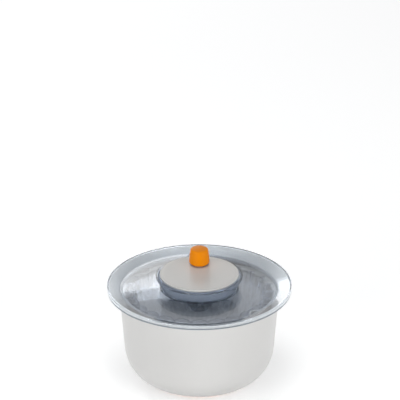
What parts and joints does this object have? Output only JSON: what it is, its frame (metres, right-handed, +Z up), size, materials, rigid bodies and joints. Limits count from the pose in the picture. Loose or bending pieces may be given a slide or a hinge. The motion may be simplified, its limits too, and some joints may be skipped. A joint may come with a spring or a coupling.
{
  "type": "salad spinner",
  "caption": "Crank-driven salad spinner: flared bowl, slotted basket with finger grooves, clear scalloped cover, clear collared lid, dished disc crank with an upright knob.",
  "frame": {"origin": "on the shared axis, at the underside of the base ring, where the spinner stands", "axes": "+Z up along the axis of bowl, basket, lid and crank; +Y from the axis towards the crank's post"},
  "size_m": [0.28, 0.28, 0.2021],
  "materials": {
    "bowl_plastic": "satin, warm white",
    "base_ring_rubber": "matte",
    "basket_plastic": "satin, light grey",
    "bearing_plastic": "plain white acetal",
    "steel": "turned",
    "cover_plastic": "clear, pale blue",
    "lid_plastic": "clear, pale blue",
    "gear_plastic": "translucent, pale blue",
    "idler_plastic": "clear, pale blue",
    "crank_plastic": "satin, mid grey",
    "core_plastic": "dark grey",
    "knob_plastic": "satin, orange"
  },
  "bodies": {
    "bowl": {"base_ring": "base_ring_rubber", "bowl": "bowl_plastic", "pivot_pin": "steel", "thrust_washer": "steel"},
    "pivot_bush": {"pivot_bush": "bearing_plastic"},
    "basket": {"basket": "basket_plastic"},
    "hub_bush": {"hub_bush": "bearing_plastic"},
    "cover": {"cover": "cover_plastic", "hub_gear": "gear_plastic", "hub_nut": "bearing_plastic"},
    "lid": {"lid": "lid_plastic", "glide_ring": "bearing_plastic", "idler_axle": "steel", "idler_bracket": "idler_plastic", "bracket_screws": "steel"},
    "idler": {"idler_gear": "idler_plastic"},
    "crank_bush": {"crank_bush": "bearing_plastic"},
    "crank": {"crank_disc": "crank_plastic", "ring_gear": "bearing_plastic", "crank_shaft": "steel", "post_core": "core_plastic"},
    "knob_sleeve": {"knob_sleeve": "bearing_plastic"},
    "knob": {"knob": "knob_plastic"}
  },
  "joints": [
    {"name": "basket_lift", "type": "slide", "parent": "bowl", "child": "pivot_bush", "axis": [0, 0, 1], "range_m": [0, 0.144]},
    {"name": "basket_spin", "type": "hinge", "parent": "pivot_bush", "child": "basket", "pos_m": [0, 0, 0.0222], "axis": [0, 0, 1], "continuous": true},
    {"name": "cover_lift", "type": "slide", "parent": "pivot_bush", "child": "hub_bush", "axis": [0, 0, 1], "range_m": [0, 0.0705]},
    {"name": "cover_spin", "type": "hinge", "parent": "hub_bush", "child": "cover", "pos_m": [0, 0, 0.1308], "axis": [0, 0, 1], "continuous": true},
    {"name": "lid_lift", "type": "slide", "parent": "hub_bush", "child": "lid", "axis": [0, 0, 1], "range_m": [0, 0.0804]},
    {"name": "idler_spin", "type": "hinge", "parent": "lid", "child": "idler", "pos_m": [0, -0.03075, 0.1372], "axis": [0, 0, 1], "continuous": true},
    {"name": "crank_lift", "type": "slide", "parent": "lid", "child": "crank_bush", "axis": [0, 0, 1], "range_m": [0, 0.0583]},
    {"name": "crank_spin", "type": "hinge", "parent": "crank_bush", "child": "crank", "pos_m": [0, 0, 0.173], "axis": [0, 0, 1], "continuous": true},
    {"name": "knob_pull", "type": "slide", "parent": "crank", "child": "knob_sleeve", "axis": [0, 0, 1], "range_m": [0, 0.0405]},
    {"name": "knob_spin", "type": "hinge", "parent": "knob_sleeve", "child": "knob", "pos_m": [0, 0.033, 0.1771], "axis": [0, 0, 1], "continuous": true}
  ],
  "couplings": [
    {"joint": "cover_spin", "follows": "basket_spin", "ratio": 1},
    {"joint": "idler_spin", "follows": "basket_spin", "ratio": -0.78261},
    {"joint": "crank_spin", "follows": "basket_spin", "ratio": -0.28125}
  ]
}
